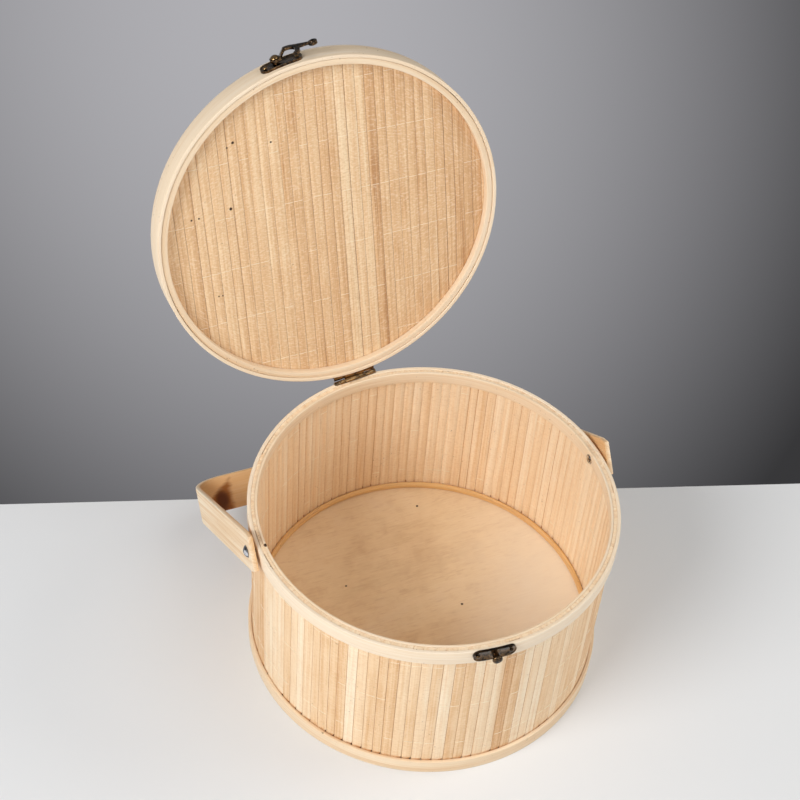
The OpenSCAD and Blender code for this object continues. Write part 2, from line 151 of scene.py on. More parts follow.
class Sheet:
    """Collects swept strips into one mesh, with a UV in metres (across, along) and a tint per point."""

    def __init__(self):
        self.points, self.faces, self.uvs, self.tints, self.count = [], [], [], [], 0

    def sweep(self, pts, across, along, tint, loop=False):
        """pts is (rings, points, 3); across is the points' arc length, along the rings'.
        A strip that doesn't close on itself gets a cap at each end."""
        rings, m = pts.shape[:2]
        base = self.count
        self.points.append(pts.reshape(-1, 3))
        self.tints.append(np.broadcast_to(tint, (rings, m, 3)).reshape(-1, 3))
        self.count += rings * m
        for i in range(rings if loop else rings - 1):
            i2 = (i + 1) % rings
            for j in range(m):
                j2 = (j + 1) % m
                self.faces.append((base + i * m + j, base + i * m + j2,
                                   base + i2 * m + j2, base + i2 * m + j))
                u0, u1 = across[j], across[j + 1]
                v0, v1 = along[i], along[i + 1]
                self.uvs += [(u0, v0), (u1, v0), (u1, v1), (u0, v1)]
        if not loop:
            for i, order in ((0, range(m - 1, -1, -1)), (rings - 1, range(m))):
                self.faces.append(tuple(base + i * m + j for j in order))
                self.uvs += [(across[j], along[i]) for j in order]

    def object(self, name, material, smooth=40):
        """The strips as one object of the scene; edges under the angle smooth are shaded round."""
        mesh = bpy.data.meshes.new(name)
        mesh.from_pydata(np.concatenate(self.points).tolist(), [], self.faces)
        uv = mesh.uv_layers.new(name="grain")
        uv.data.foreach_set("uv", np.array(self.uvs, dtype=np.float32).ravel())
        tint = mesh.attributes.new("tint", "FLOAT_VECTOR", "POINT")
        tint.data.foreach_set("vector", np.concatenate(self.tints).astype(np.float32).ravel())
        bm = bmesh.new()
        bm.from_mesh(mesh)
        bmesh.ops.recalc_face_normals(bm, faces=bm.faces)
        bm.to_mesh(mesh)
        bm.free()
        mesh.materials.append(material)
        shade(mesh, smooth)
        return add_object(name, mesh)


def arc_lengths(outline):
    """Running length round a closed outline, with the closing side at the end."""
    p = np.asarray(outline, float)
    d = np.hypot(*(np.roll(p, -1, 0) - p).T)
    return np.concatenate([[0], np.cumsum(d)])


def rounded_box(x0, x1, y0, y1, r, n=3):
    """Closed outline of a rectangle with rounded corners, anticlockwise."""
    corners = ((x1 - r, y1 - r, 0), (x0 + r, y1 - r, 90), (x0 + r, y0 + r, 180), (x1 - r, y0 + r, 270))
    out = []
    for cx, cy, start in corners:
        for k in range(n + 1):
            t = math.radians(start + 90 * k / n)
            out.append((cx + r * math.cos(t), cy + r * math.sin(t)))
    return np.array(out)


def smooth_noise(n, waves, amp, seed):
    """Closed one-dimensional wobble built from a few waves."""
    g = np.random.default_rng(seed)
    t = np.linspace(0, 2 * math.pi, n, endpoint=False)
    out = np.zeros(n)
    for k in waves:
        out += g.normal() / k ** 0.5 * np.sin(k * t + g.uniform(0, ANY_PHASE))
    return amp * out / max(1e-9, np.abs(out).max())


def hoop(name, material, ring, edge, tone, seed, wobble, place=None, grooved=False):
    """A bent strip: a rounded section carried round the axis, with a faint waver in its edges.
    A grooved one has extra rings and points where the hinge's barrel is let in."""
    ri, ro, z0, z1 = ring
    prof = rounded_box(ri, ro, z0, z1, edge)
    segs = 240
    th = np.linspace(0, 2 * math.pi, segs, endpoint=False)
    rad = smooth_noise(segs, (2, 3, 5, 7), wobble, seed)
    top = smooth_noise(segs, (3, 4, 9, 13), 1.4 * wobble, seed + 1)
    if grooved:                 # two rings close together at each end of the groove
        middle = math.atan2(HINGE_POS.y, HINGE_POS.x)
        half = GROOVE_HALF / ro
        ends = [middle + k * half * e for k in (-1, 1) for e in (0.985, 1.015)]
        more = np.concatenate([th, ends])
        order = np.argsort(more, kind="stable")
        rad = np.interp(more, th, rad)[order]
        top = np.interp(more, th, top)[order]
        th = more[order]
        flat = np.array([(x, z1) for x in np.linspace(ro - edge, ri + edge, 6)[1:-1]])
        first = int(np.argmax(prof[:, 0] < ri + edge + 1e-6))
        prof = np.vstack([prof[:first], flat, prof[first:]])
    upper = prof[None, :, 1] > (z0 + z1) / 2
    r = prof[None, :, 0] - np.abs(rad)[:, None]
    z = prof[None, :, 1] - np.abs(top)[:, None] * upper
    pts = np.stack([r * np.cos(th)[:, None], r * np.sin(th)[:, None], z], -1)
    if grooved:
        pts = let_in(pts)
    if place is not None:
        pts = moved(pts, place)
    along = np.append(th, 2 * math.pi) * ro
    grain = seed * 0.137 % 1        # each hoop has a grain of its own
    sheet = Sheet()
    sheet.sweep(pts, arc_lengths(prof), along, (tone, grain, 0), loop=True)
    return sheet.object(name, material)


# ---------------------------------------------------------------- materials

def srgb(r, g, b):
    """An sRGB colour, 0 to 255, as the linear one that the shaders take."""
    def lin(c):
        c /= 255
        return c / 12.92 if c <= 0.04045 else ((c + 0.055) / 1.055) ** 2.4
    return (lin(r), lin(g), lin(b), 1)


class Nodes:
    """Short names for building a material's node tree."""

    def __init__(self, name):
        self.mat = bpy.data.materials.new(name)
        self.mat.use_nodes = True
        self.tree = self.mat.node_tree
        self.tree.nodes.clear()
        self.out = self.add("ShaderNodeOutputMaterial")

    def add(self, kind, **props):
        n = self.tree.nodes.new(kind)
        for k, v in props.items():
            setattr(n, k, v)
        return n

    def link(self, a, b):
        self.tree.links.new(a, b)

    def put(self, socket, value):
        if hasattr(value, "links"):
            self.link(value, socket)
        else:
            socket.default_value = value

    def math(self, op, a, b=0.0):
        n = self.add("ShaderNodeMath", operation=op)
        self.put(n.inputs[0], a)
        self.put(n.inputs[1], b)
        return n.outputs[0]

    def plus(self, a, b):
        return self.math("ADD", a, b)

    def minus(self, a, b):
        return self.math("SUBTRACT", a, b)

    def times(self, a, b):
        return self.math("MULTIPLY", a, b)

    def over(self, a, b):
        return self.math("DIVIDE", a, b)

    def swing(self, field, share):
        """A 0 to 1 field turned into one that swings about 0."""
        return self.times(self.minus(field, 0.5), share)

    def mix(self, fac, a, b, blend="MIX"):
        n = self.add("ShaderNodeMix", data_type="RGBA", blend_type=blend)
        self.put(n.inputs[0], fac)
        self.put(n.inputs[6], a)
        self.put(n.inputs[7], b)
        return n.outputs[2]

    def stain(self, base, mask, share, colour):
        """Lays a colour over the base where the mask is 1, at most by the share."""
        return self.mix(self.times(mask, share), base, colour)

    def ramp(self, fac, stops):
        n = self.add("ShaderNodeValToRGB")
        el = n.color_ramp.elements
        while len(el) < len(stops):
            el.new(0.5)
        for e, (p, c) in zip(el, stops):
            e.position = p
            e.color = c
        self.put(n.inputs[0], fac)
        return n.outputs[0]

    def step(self, x, lo, hi):
        """0 at lo, 1 at hi, smooth between; hi may be the lower one."""
        n = self.add("ShaderNodeMapRange", interpolation_type="SMOOTHSTEP")
        self.put(n.inputs[0], x)
        self.put(n.inputs[1], lo)
        self.put(n.inputs[2], hi)
        return n.outputs[0]

    def split(self, vector):
        """x, y and z of a vector."""
        n = self.add("ShaderNodeSeparateXYZ")
        self.link(vector, n.inputs[0])
        return n.outputs

    def place(self):
        """Object coordinates, in metres."""
        return self.add("ShaderNodeTexCoord").outputs["Object"]

    def noise(self, vec, scale, detail=2.0, rough=0.5, distort=0.0):
        n = self.add("ShaderNodeTexNoise")
        self.put(n.inputs["Vector"], vec)
        n.inputs["Scale"].default_value = scale
        n.inputs["Detail"].default_value = detail
        n.inputs["Roughness"].default_value = rough
        n.inputs["Distortion"].default_value = distort
        return n.outputs[0]

    def spots(self, places):
        """1 inside small dark knots, each a little ragged; a place is (x, y, z, radius)."""
        co = self.place()
        rag = self.swing(self.noise(co, 1800, 1, 0.5), 0.9)
        out = 0.0
        for x, y, z, r in places:
            d = self.add("ShaderNodeVectorMath", operation="DISTANCE")
            self.link(co, d.inputs[0])
            d.inputs[1].default_value = (x, y, z)
            near = self.plus(self.over(d.outputs["Value"], r), rag)
            out = self.math("MAXIMUM", out, self.step(near, 1.15, 0.8))
        return out

    def principled(self, base, rough, bump, strength, distance, **consts):
        """The surface shader with a bump; consts go straight on its own sockets."""
        p = self.add("ShaderNodeBsdfPrincipled")
        self.put(p.inputs["Base Color"], base)
        self.put(p.inputs["Roughness"], rough)
        for k, v in consts.items():
            p.inputs[k.replace("_", " ")].default_value = v
        b = self.add("ShaderNodeBump")
        b.inputs["Strength"].default_value = strength
        b.inputs["Distance"].default_value = distance
        self.put(b.inputs["Height"], bump)
        self.link(b.outputs[0], p.inputs["Normal"])
        self.link(p.outputs[0], self.out.inputs[0])
        return self.mat


BARK = srgb(120, 78, 44)
DARK = srgb(62, 38, 20)


def scorched(n, base, u, v, blotch, spot):
    """A burn from bending the strip over heat: a ragged brown patch with a darker core.
    The patch starts on a slant across the inner face and runs on over the edge to the outer one."""
    across, along, half_wide, half_long = spot
    du = n.over(n.minus(u, across), half_wide)
    dv = n.over(n.minus(v, along), half_long)
    rag = n.swing(blotch, 0.9)
    slant = n.minus(-0.4, n.plus(du, n.times(dv, 0.6)))
    outside = n.math("MAXIMUM", slant, n.minus(dv, 0.8))
    outside = n.plus(n.math("MAXIMUM", outside, n.minus(-2.1, dv)), rag)
    base = n.stain(base, n.step(outside, 0.5, -0.05), 0.9, srgb(150, 82, 14))
    core = n.plus(n.math("POWER", n.over(n.minus(dv, 0.25), 0.62), 2.0),
                  n.math("POWER", n.over(n.minus(du, 0.1), 0.85), 2.0))
    return n.stain(base, n.step(n.plus(core, rag), 1.3, 0.1), 0.9, srgb(84, 34, 2))


def bamboo(name, stops, streak, speck, gap, rough=0.62, line=srgb(196, 138, 82), knots=(),
           scorch=None, ripple=0.0):
    """Split bamboo: fine fibres along the piece, broader streaks, a few specks and darker cut edges.
    The UV is in metres, across and along; tint is (tone, seed, darkness of an edge).
    Streak, speck and ripple are the strengths of the streaks, the specks and the fine cross marks.
    Edges take the colour line, at most by the share gap.
    Knots are (x, y, z, radius) in metres; the scorch is (across, along, half width, half length)."""
    n = Nodes(name)
    u, v = n.split(n.add("ShaderNodeUVMap", uv_map="grain").outputs[0])[:2]
    tint = n.add("ShaderNodeAttribute", attribute_name="tint").outputs["Vector"]
    tone, seed, edge = n.split(tint)

    def field(across, along, detail, roughness, shift):
        """Noise with its own scale across and along the piece, other for each seed."""
        c = n.add("ShaderNodeCombineXYZ")
        n.link(n.times(u, across), c.inputs[0])
        n.link(n.times(v, along), c.inputs[1])
        n.link(n.times(seed, shift), c.inputs[2])
        return n.noise(c.outputs[0], 1.0, detail, roughness)

    fibre = field(2600, 45, 3, 0.6, 37.0)
    stripe = field(780, 10, 3, 0.62, 61.0)
    band = field(330, 5, 1, 0.5, 43.0)
    blotch = field(220, 40, 3, 0.6, 23.0)
    value = tone
    for part, share in ((stripe, 1.15), (band, 0.7), (blotch, 0.22)):
        value = n.plus(value, n.swing(part, share * streak))
    base = n.ramp(value, stops)
    base = n.stain(base, n.step(fibre, 0.5, 0.78), 0.22, srgb(178, 128, 82))
    base = n.stain(base, n.step(fibre, 0.5, 0.25), 0.16, srgb(252, 236, 208))
    specks = n.step(field(760, 520, 1, 0.5, 91.0), 0.715, 0.76)
    where = n.step(field(60, 40, 1, 0.5, 17.0), 0.5, 0.62)
    base = n.stain(base, n.times(specks, where), speck, BARK)
    if ripple:
        cross = field(500, 1050, 2, 0.6, 71.0)
        base = n.stain(base, n.step(cross, 0.5, 0.68), ripple, srgb(186, 140, 98))
        base = n.stain(base, n.step(cross, 0.5, 0.32), ripple, srgb(255, 242, 222))
        dots = n.plus(n.times(n.step(cross, 0.36, 0.58), 0.5), 0.5)
        edge = n.times(edge, dots)
    base = n.stain(base, edge, gap, line)
    if knots:
        base = n.mix(n.spots(knots), base, DARK)
    if scorch:
        base = scorched(n, base, u, v, blotch, scorch)
    roughness = n.plus(n.times(stripe, 0.16), rough - 0.08)
    height = n.plus(n.times(fibre, 0.7), n.times(stripe, 0.5))
    return n.principled(base, roughness, height, 0.35, 0.00012, IOR=1.45)


WALL_STOPS = [(0.0, srgb(250, 229, 198)), (0.3, srgb(244, 214, 176)), (0.6, srgb(236, 199, 155)),
              (0.85, srgb(224, 179, 130)), (1.0, srgb(208, 156, 106))]
LID_STOPS = [(0.0, srgb(242, 214, 174)), (0.3, srgb(235, 199, 155)), (0.6, srgb(225, 184, 138)),
             (0.85, srgb(211, 165, 117)), (1.0, srgb(192, 143, 96))]
HOOP_STOPS = [(0.0, srgb(244, 226, 202)), (0.5, srgb(239, 215, 183)), (1.0, srgb(228, 193, 151))]
BEAD_STOPS = [(0.0, srgb(242, 206, 150)), (0.5, srgb(234, 190, 128)), (1.0, srgb(206, 152, 94))]
HANDLE_STOPS = [(0.0, srgb(252, 234, 206)), (0.5, srgb(238, 208, 170)), (1.0, srgb(224, 184, 134))]

# dark knots on the lid's inner slats: x, y and radius in mm with the lid shut
LID_KNOTS = ((-43.8, -70.9, 0.85), (-47.8, -69.0, 0.6), (-22.5, -63.2, 0.6), (-54.9, -31.6, 0.95),
             (-78.6, -33.2, 0.6), (-74.2, -32.7, 0.6), (-75.9, 21.0, 0.5), (-73.5, 21.5, 0.5))

# dark knots on the board's upper face: x, y and radius in mm
BOARD_KNOTS = ((-38.7, 34.45, 0.7), (29.96, 81.76, 0.8), (26.28, -3.45, 0.8))

HOOP_KNOT = (-0.1046, -0.0004, 0.1208, 0.0012)      # on the rim's top by the left rivet
SCORCH = (0.0185, 0.1545, 0.0098, 0.0088)           # its core is inside the handle's left bend


def lid_knots():
    """The lid's knots where they lie with the lid open, in the slats' lower face."""
    return [(*(OPEN @ Vector((x * MM, y * MM, LID_UNDER.bottom))), r * MM) for x, y, r in LID_KNOTS]


def board_knots():
    """The board's knots in its upper face."""
    return [(x * MM, y * MM, BOARD.top, r * MM) for x, y, r in BOARD_KNOTS]


slat_mat = bamboo("bamboo_slats", WALL_STOPS, 0.85, 0.45, 0.95, line=srgb(194, 120, 46), ripple=0.14)
lid_mat = bamboo("bamboo_lid_slats", LID_STOPS, 1.2, 0.35, 0.9, line=srgb(176, 142, 116),
                 knots=lid_knots(), ripple=0.24)
hoop_mat = bamboo("bamboo_hoops", HOOP_STOPS, 1.1, 0.6, 0.8, rough=0.55, knots=(HOOP_KNOT,))
bead_mat = bamboo("rattan_bead", BEAD_STOPS, 1.0, 0.6, 0.6, rough=0.55)
handle_mat = bamboo("bamboo_handle", HANDLE_STOPS, 1.3, 0.5, 0.7, rough=0.5, line=srgb(216, 160, 92),
                    scorch=SCORCH)


def plywood():
    """Sanded plywood seen from above: long soft figure, cloudy stain, a few dark knots and a painted pool
    of light to the right.
    """
    n = Nodes("plywood_board")
    co = n.place()
    turn = n.add("ShaderNodeMapping")
    turn.inputs["Rotation"].default_value = (0, 0, math.radians(28))
    turn.inputs["Scale"].default_value = (1.0, 7.0, 1.0)
    n.link(co, turn.inputs[0])
    figure = n.noise(turn.outputs[0], 9, 4, 0.6, 0.8)
    grain = n.noise(turn.outputs[0], 120, 3, 0.6)
    cloud = n.noise(co, 22, 4, 0.62)
    fine = n.noise(co, 95, 3, 0.6)
    base = n.ramp(figure, [(0.3, srgb(237, 211, 172)), (0.52, srgb(243, 217, 179)),
                           (0.75, srgb(234, 205, 164))])
    base = n.stain(base, n.step(cloud, 0.42, 0.72), 0.5, srgb(216, 182, 142))
    base = n.stain(base, n.step(cloud, 0.5, 0.3), 0.4, srgb(243, 220, 192))
    base = n.stain(base, n.step(fine, 0.5, 0.8), 0.22, srgb(198, 152, 108))
    base = n.stain(base, n.step(grain, 0.52, 0.72), 0.22, srgb(192, 146, 102))
    base = n.stain(base, n.step(grain, 0.48, 0.3), 0.18, srgb(255, 238, 208))
    x, y = n.split(co)[:2]
    right = n.plus(n.minus(n.times(x, 0.9), n.times(y, 0.43)), n.swing(cloud, 0.05))
    base = n.stain(base, n.step(right, 0.0, 0.1), 0.75, srgb(255, 246, 230))     # painted light: paler to the right, where the key light falls in over the rim
    base = n.mix(n.spots(board_knots()), base, DARK)
    return n.principled(base, 0.6, grain, 0.25, 0.0001, IOR=1.45)


def bronze(name, low, high):
    """Antique bronze: near black, rubbed brown and flecked brassy in random patches; these paler patches
    are partly rubbed wear and partly painted highlights.
    """
    n = Nodes(name)
    co = n.place()
    mottle = n.noise(co, 1100, 4, 0.6)
    wear_and_highlight = n.noise(co, 330, 3, 0.6)
    base = n.mix(n.step(wear_and_highlight, 0.38, 0.62), low, high)
    base = n.stain(base, n.step(mottle, 0.54, 0.72), 0.6, srgb(186, 148, 98))
    roughness = n.plus(n.times(mottle, 0.18), 0.12)
    return n.principled(base, roughness, mottle, 0.5, 0.00022,
                        Metallic=1.0, Coat_Weight=0.3, Coat_Roughness=0.1)


def steel():
    """Bright rivet steel with dull patches and fine scratches."""
    n = Nodes("rivet_steel")
    co = n.place()
    scratch = n.noise(co, 1500, 3, 0.6)
    dull = n.noise(co, 420, 2, 0.5)
    base = n.mix(n.step(dull, 0.4, 0.58), srgb(104, 104, 108), srgb(226, 228, 232))
    roughness = n.plus(n.times(scratch, 0.12), 0.1)
    return n.principled(base, roughness, scratch, 0.15, 0.00005, Metallic=1.0)


def thread():
    """Thin pale twisted thread."""
    n = Nodes("sewing_thread")
    twist = n.noise(n.place(), 4200, 2, 0.5)
    base = n.mix(twist, srgb(244, 224, 192), srgb(254, 244, 222))
    return n.principled(base, 0.75, twist, 0.4, 0.0001, Sheen_Weight=0.2)


bronze_mat = bronze("antique_bronze", srgb(27, 20, 14), srgb(104, 78, 50))
# a paler copy of the bronze for hinge leaves, pins, nails and the hook post: rubbed, and partly a painted
# highlight
pin_mat = bronze("rubbed_bronze_and_painted_highlight", srgb(86, 67, 46), srgb(168, 133, 88))
plywood_mat = plywood()
steel_mat = steel()
thread_mat = thread()


def keep(node, material):
    """A CAD node that stays and takes a better material."""
    o = NODES[node]
    o.data.materials.clear()
    o.data.materials.append(material)


# ---------------------------------------------------------------- wall slats

# points of slat_outline, by what they lie on
INNER_FACE = [0, -1]
INNER_EDGES = [1, -2]
FIRST_SIDE = 2
OUTER_EDGES = [3, -3]
LAST_HALF = 6


def slat_outline(w0, w1, r0, r1, bevel, inner):
    """Section of an upright slat in (outwards, sideways): bevelled inside, rounded edges outside."""
    pts = [(r0, w0 + inner), (r0 + inner, w0), (r1 - bevel, w0)]
    for k in range(1, 4):
        t = math.radians(90 * k / 3)
        pts.append((r1 - bevel + bevel * math.sin(t), w0 + bevel - bevel * math.cos(t)))
    for k in range(0, 4):
        t = math.radians(90 * k / 3)
        pts.append((r1 - bevel + bevel * math.cos(t), w1 - bevel + bevel * math.sin(t)))
    pts += [(r0 + inner, w1), (r0, w1 - inner)]
    return np.array(pts)


def wavering(count, steps, jitter, wave, g, closed):
    """Edges shared by neighbouring slats: each is off its place a little and wavers along its length."""
    t = np.linspace(0, 1, steps)
    edge = np.zeros((count + 1, steps))
    for i in range(count + 1):
        edge[i] = g.uniform(-jitter, jitter)
        for k in (1, 2, 3):
            edge[i] += wave / k * g.normal() * np.sin(k * math.pi * t + g.uniform(0, ANY_PHASE))
    if closed:
        edge[count] = edge[0]
    return edge


def pick_tone(g, prev):
    """Neighbouring slats often come from one culm, so tones run in short groups."""
    if g.random() < 0.3:
        return float(np.clip(prev + g.normal(0, 0.06), 0, 1))
    return float(np.clip(g.beta(2.9, 3.0), 0, 1))


RINGS = 15              # sections along a slat
PIT_RING = 1            # just above the foot hoop
HOLE_RING = 3           # just above the floor's bead
END_RINGS = 2           # under the rim, where the slats close up
CLOSE = 0.03 * MM       # smallest bevel, and how far a whole end lies in


def slat_heights(top, foot):
    """Heights of a wall slat's sections, close together above the foot hoop and the bead."""
    return np.concatenate([[WALL.bottom + foot, FOOT.top + 0.2 * MM, FOOT.top + 1.8 * MM],
                           [BEAD.top + 0.2 * MM, BEAD.top + 1.6 * MM],
                           np.linspace(BEAD.top + 8 * MM, WALL.top - 9 * MM, RINGS - 7),
                           [WALL.top - 6 * MM, top]])


def wall_slats():
    """Outside and inside show between the hoops; the ends close up flush under the rim,
    but for chipped ones, which stay back, and corners that are notched."""
    sheet = Sheet()
    g = np.random.default_rng(11)
    notches = np.random.default_rng(12)
    half = WALL.inner * math.tan(PITCH / 2)
    tone = 0.3
    edges = wavering(SLATS, RINGS, 0.42 * MM, 0.07 * MM, g, True)
    chipped = False
    for i in range(SLATS):
        tone = pick_tone(g, tone)
        top = WALL.top - g.uniform(0.0, 0.1) * MM
        z = slat_heights(top, g.uniform(0, 0.3) * MM)
        pit = g.uniform(0.5, 1.1) * MM if g.random() < 0.7 else 0.0
        slack0, slack1 = g.uniform(0.0, 0.035, 2) * MM
        sunk = g.uniform(0.03, 0.14) * MM
        proud = g.uniform(0, 0.1) * MM
        bevel = g.uniform(0.1, 0.28) * MM
        chipped = g.random() < (0.45 if chipped else 0.1)
        corner = notches.uniform(0.4, 0.95) * MM if notches.random() < 0.6 else 0.04 * MM
        seam = notches.choice(3, p=[0.55, 0.3, 0.15])       # closed, slightly open or open inside
        hole = notches.uniform(0.25, 0.7) * MM if notches.random() < 0.6 else 0.0

        a = (i + 0.5) * PITCH
        out, side = np.array([math.cos(a), math.sin(a)]), np.array([-math.sin(a), math.cos(a)])
        rows = []
        for k in range(RINGS):
            end = k >= RINGS - END_RINGS and not chipped
            inner = (0.03, 0.09, 0.24)[seam] * MM if 0 < k < RINGS - END_RINGS else CLOSE
            w0 = -half + edges[i, k] + (0.01 * MM if end else slack0)
            w1 = half + edges[i + 1, k] - (0.01 * MM if end else slack1)
            if k == PIT_RING:
                w1 -= pit
            if k == HOLE_RING:
                inner += hole
            drop = CLOSE if end else sunk
            if chipped and k == RINGS - 1:
                drop = 0.4 * MM
            prof = slat_outline(w0, w1, WALL.inner + (0.02 * MM if end else proud), WALL.outer - drop,
                                corner if end else bevel, inner)
            row = np.zeros((len(prof), 3))
            row[:, :2] = prof[:, 0, None] * out + prof[:, 1, None] * side
            row[:, 2] = z[k]
            rows.append(row)
        pts = np.array(rows)
        pts[-1] = let_in(pts[-1])

        dark = np.zeros((RINGS, len(prof)))
        dark[:, FIRST_SIDE] = 1
        dark[:, INNER_EDGES[1]] = 1
        dark[:, INNER_EDGES[0]] = (0.15, 0.5, 1.0)[seam]
        dark[HOLE_RING, INNER_EDGES] = 1
        dark[:, OUTER_EDGES] = g.uniform(0.1, 0.7)
        dark[PIT_RING, FIRST_SIDE:] = 0.35
        dark[PIT_RING, LAST_HALF:] = 1 if pit else 0.35
        dark[-END_RINGS:] *= 0.3
        spread = g.normal(0, 0.05, (RINGS, 1))
        tones = np.clip(1.25 * tone - 0.08 + spread, 0, 0.82) * np.ones_like(dark)
        painted_shading = 0.16 * max(0.0, math.cos(a - math.radians(95)))      # painted shade: the inner face darker and more orange round the back, away from the key light
        tones[:, INNER_FACE] = 0.2 * tones[:, INNER_FACE] + 0.06 + painted_shading
        tones[-1] = 0.25
        tint = np.stack([tones, np.full_like(dark, g.random()), dark], -1)
        sheet.sweep(pts, arc_lengths(prof), z, tint)
    fit(sheet.object("wall_bamboo_slats", slat_mat, 50), "basket", "wall_slats")


wall_slats()


# ---------------------------------------------------------------- lid slats

def strip_section(x0, x1, back, face, b):
    """Section of a lid slat, from its back round its bevelled face and back again."""
    sign = 1 if face > back else -1
    low, mid = face - sign * b, face - sign * b * 0.3
    return np.array([(x0, back), (x0, low), (x0 + b * 0.3, mid), (x0 + b, face), ((x0 + x1) / 2, face),
                     (x1 - b, face), (x1 - b * 0.3, mid), (x1, low), (x1, back)])


def lid_slats(name, node, box, under, seed):
    """Parallel slats cut to the lid's round, each a bevelled strip with its own tone."""
    sheet = Sheet()
    g = np.random.default_rng(seed)
    n = int(box.outer / LID_PITCH)
    tone = 0.5
    edges = wavering(2 * n + 1, RINGS, 0.55 * MM, 0.12 * MM, g, False)
    t = np.linspace(-1, 1, RINGS)
    far = box.outer - 0.1 * MM
    for i in range(-n, n + 1):
        tone = pick_tone(g, tone)
        slack0, slack1 = g.uniform(-0.06, 0.1, 2).clip(0) * MM
        sunk = g.uniform(0, 0.16) * MM
        b = g.uniform(0.12, 0.36) * MM
        back, face = (box.top, box.bottom + sunk) if under else (box.bottom, box.top - sunk)
        rows = []
        for k in range(RINGS):
            x0 = max(-far, i * LID_PITCH - LID_PITCH / 2 + edges[i + n, k] + slack0)
            x1 = min(far, i * LID_PITCH + LID_PITCH / 2 + edges[i + n + 1, k] - slack1)
            prof = strip_section(x0, x1, back, face, b)
            if not under:
                prof = prof[::-1]
            reach = np.sqrt(np.maximum(1e-8, far ** 2 - prof[:, 0] ** 2))
            rows.append(np.stack([prof[:, 0], t[k] * reach, prof[:, 1]], -1))
        pts = moved(np.array(rows), LID_PLACE)
        dark = np.zeros((RINGS, len(prof)))
        dark[:, :2], dark[:, -2:] = g.uniform(0.4, 1), g.uniform(0.4, 1)
        dark[:, 2], dark[:, -3] = g.uniform(0, 0.9), g.uniform(0, 0.9)
        spread = g.normal(0, 0.05, (RINGS, 1))
        tones = np.clip(0.1 + 0.8 * tone + spread, 0, 1) * np.ones_like(dark)
        tint = np.stack([tones, np.full_like(dark, g.random()), dark], -1)
        sheet.sweep(pts, arc_lengths(prof), t * reach.mean(), tint)
    fit(sheet.object(name, lid_mat, 50), "lid", node)


lid_slats("lid_inner_bamboo_slats", "lid_under_slats", LID_UNDER, True, 5)
lid_slats("lid_outer_bamboo_slats", "lid_top_slats", LID_TOP, False, 6)


# ---------------------------------------------------------------- hoops

def ring_piece(name, node, ring, edge, tone, seed, body, wobble=0.08 * MM, place=None, grooved=False,
               material=hoop_mat):
    """A hoop that stands for a CAD ring; the lid's are made shut and placed open."""
    obj = hoop(name, material, ring, edge, tone, seed, wobble, place, grooved)
    fit(obj, body, node)


ring_piece("rim_outer_hoop", "rim_hoop", RIM, 0.5 * MM, 0.2, 3, "basket", grooved=True)
ring_piece("rim_inner_band", "rim_band", BAND, 0.4 * MM, 0.5, 4, "basket")
ring_piece("foot_outer_hoop", "foot_hoop", FOOT, 0.5 * MM, 0.66, 5, "basket", wobble=0.05 * MM)
ring_piece("floor_edge_bead", "floor_bead", BEAD, 1.2 * MM, 0.6, 6, "basket", material=bead_mat)
ring_piece("lid_outer_rim", "lid_hoop", LID, 0.5 * MM, 0.35, 7, "lid", place=OPEN)
inner_rim = (LID_RING.inner, LID_RING.outer - 0.12 * MM, LID_RING.bottom + 0.25 * MM, LID_RING.top)
ring_piece("lid_inner_rim", "lid_ring", inner_rim, 0.5 * MM, 0.5, 8, "lid", place=OPEN, wobble=0.14 * MM)
keep("foot_ring", hoop_mat)


# ---------------------------------------------------------------- handle

STRIP = 3.0 * MM            # thickness of the handle's strip
BEND = 20 * MM - STRIP / 2  # radius of its bends, at the middle of the strip
END_ROUND = 1.3 * MM        # the strip's ends narrow over this length


def u_path(mid_x, mid_y, end):
    """Middle line of the U from the left end to the right one, and the outward normals."""
    path, out = [], []
    for y in np.linspace(-end, mid_y - BEND, 26):
        path.append((-mid_x, y))
        out.append((-1.0, 0.0))
    for degrees in np.linspace(0, 90, 12)[1:]:
        a = math.radians(degrees)
        path.append((-mid_x + BEND - BEND * math.cos(a), mid_y - BEND + BEND * math.sin(a)))
        out.append((-math.cos(a), math.sin(a)))
    for x in np.linspace(-mid_x + BEND, 0, 14)[1:]:
        path.append((x, mid_y))
        out.append((0.0, 1.0))
    path += [(-x, y) for x, y in path[-2::-1]]
    out += [(-x, y) for x, y in out[-2::-1]]
    return np.array(path), np.array(out)


def handle():
    """The bent strip, carried along its U in the handle's own plane and laid back as it rests."""
    swing = JOINTS["handle_swing"]
    pivot = np.array(Vector(swing["pos_m"]))
    lay = math.radians(swing["range_deg"][1] - 90)
    local = (np.array(Matrix.Rotation(lay, 3, "X")) @ (verts_of("handle_strip") - pivot).T).T
    wide, reach, half = np.abs(local[:, 0]).max(), local[:, 1].max(), np.abs(local[:, 2]).max()
    path, out = u_path(wide - STRIP / 2, reach - STRIP / 2, -local[:, 1].min())
    along = np.concatenate([[0], np.cumsum(np.hypot(*np.diff(path, axis=0).T))])
    prof = rounded_box(-STRIP / 2, STRIP / 2, -half, half, 0.55 * MM)
    pts, tints = [], []
    for (x, y), (nx, ny), s in zip(path, out, along):
        to_end = min(s, along[-1] - s, END_ROUND)
        pull = END_ROUND - math.sqrt(max(0.0, END_ROUND ** 2 - (END_ROUND - to_end) ** 2))
        across = prof[:, 1] * (1 - pull / half)
        pts.append(np.stack([x + nx * prof[:, 0], y + ny * prof[:, 0], across], -1))
        tints.append((0.42 + 0.12 * math.sin(s * 31), 0.37, 0))
    pts = np.array(pts) @ np.array(Matrix.Rotation(-lay, 3, "X")).T + pivot
    tint = np.array(tints)[:, None, :] * np.ones((1, len(prof), 1))
    tint[:, prof[:, 0] < -0.9 * MM, 2] = 1      # the inner face has gone golden brown
    sheet = Sheet()
    sheet.sweep(pts, arc_lengths(prof), along, tint)
    fit(sheet.object("bent_strip_handle", handle_mat), "handle", "handle_strip")


handle()


# ---------------------------------------------------------------- threads

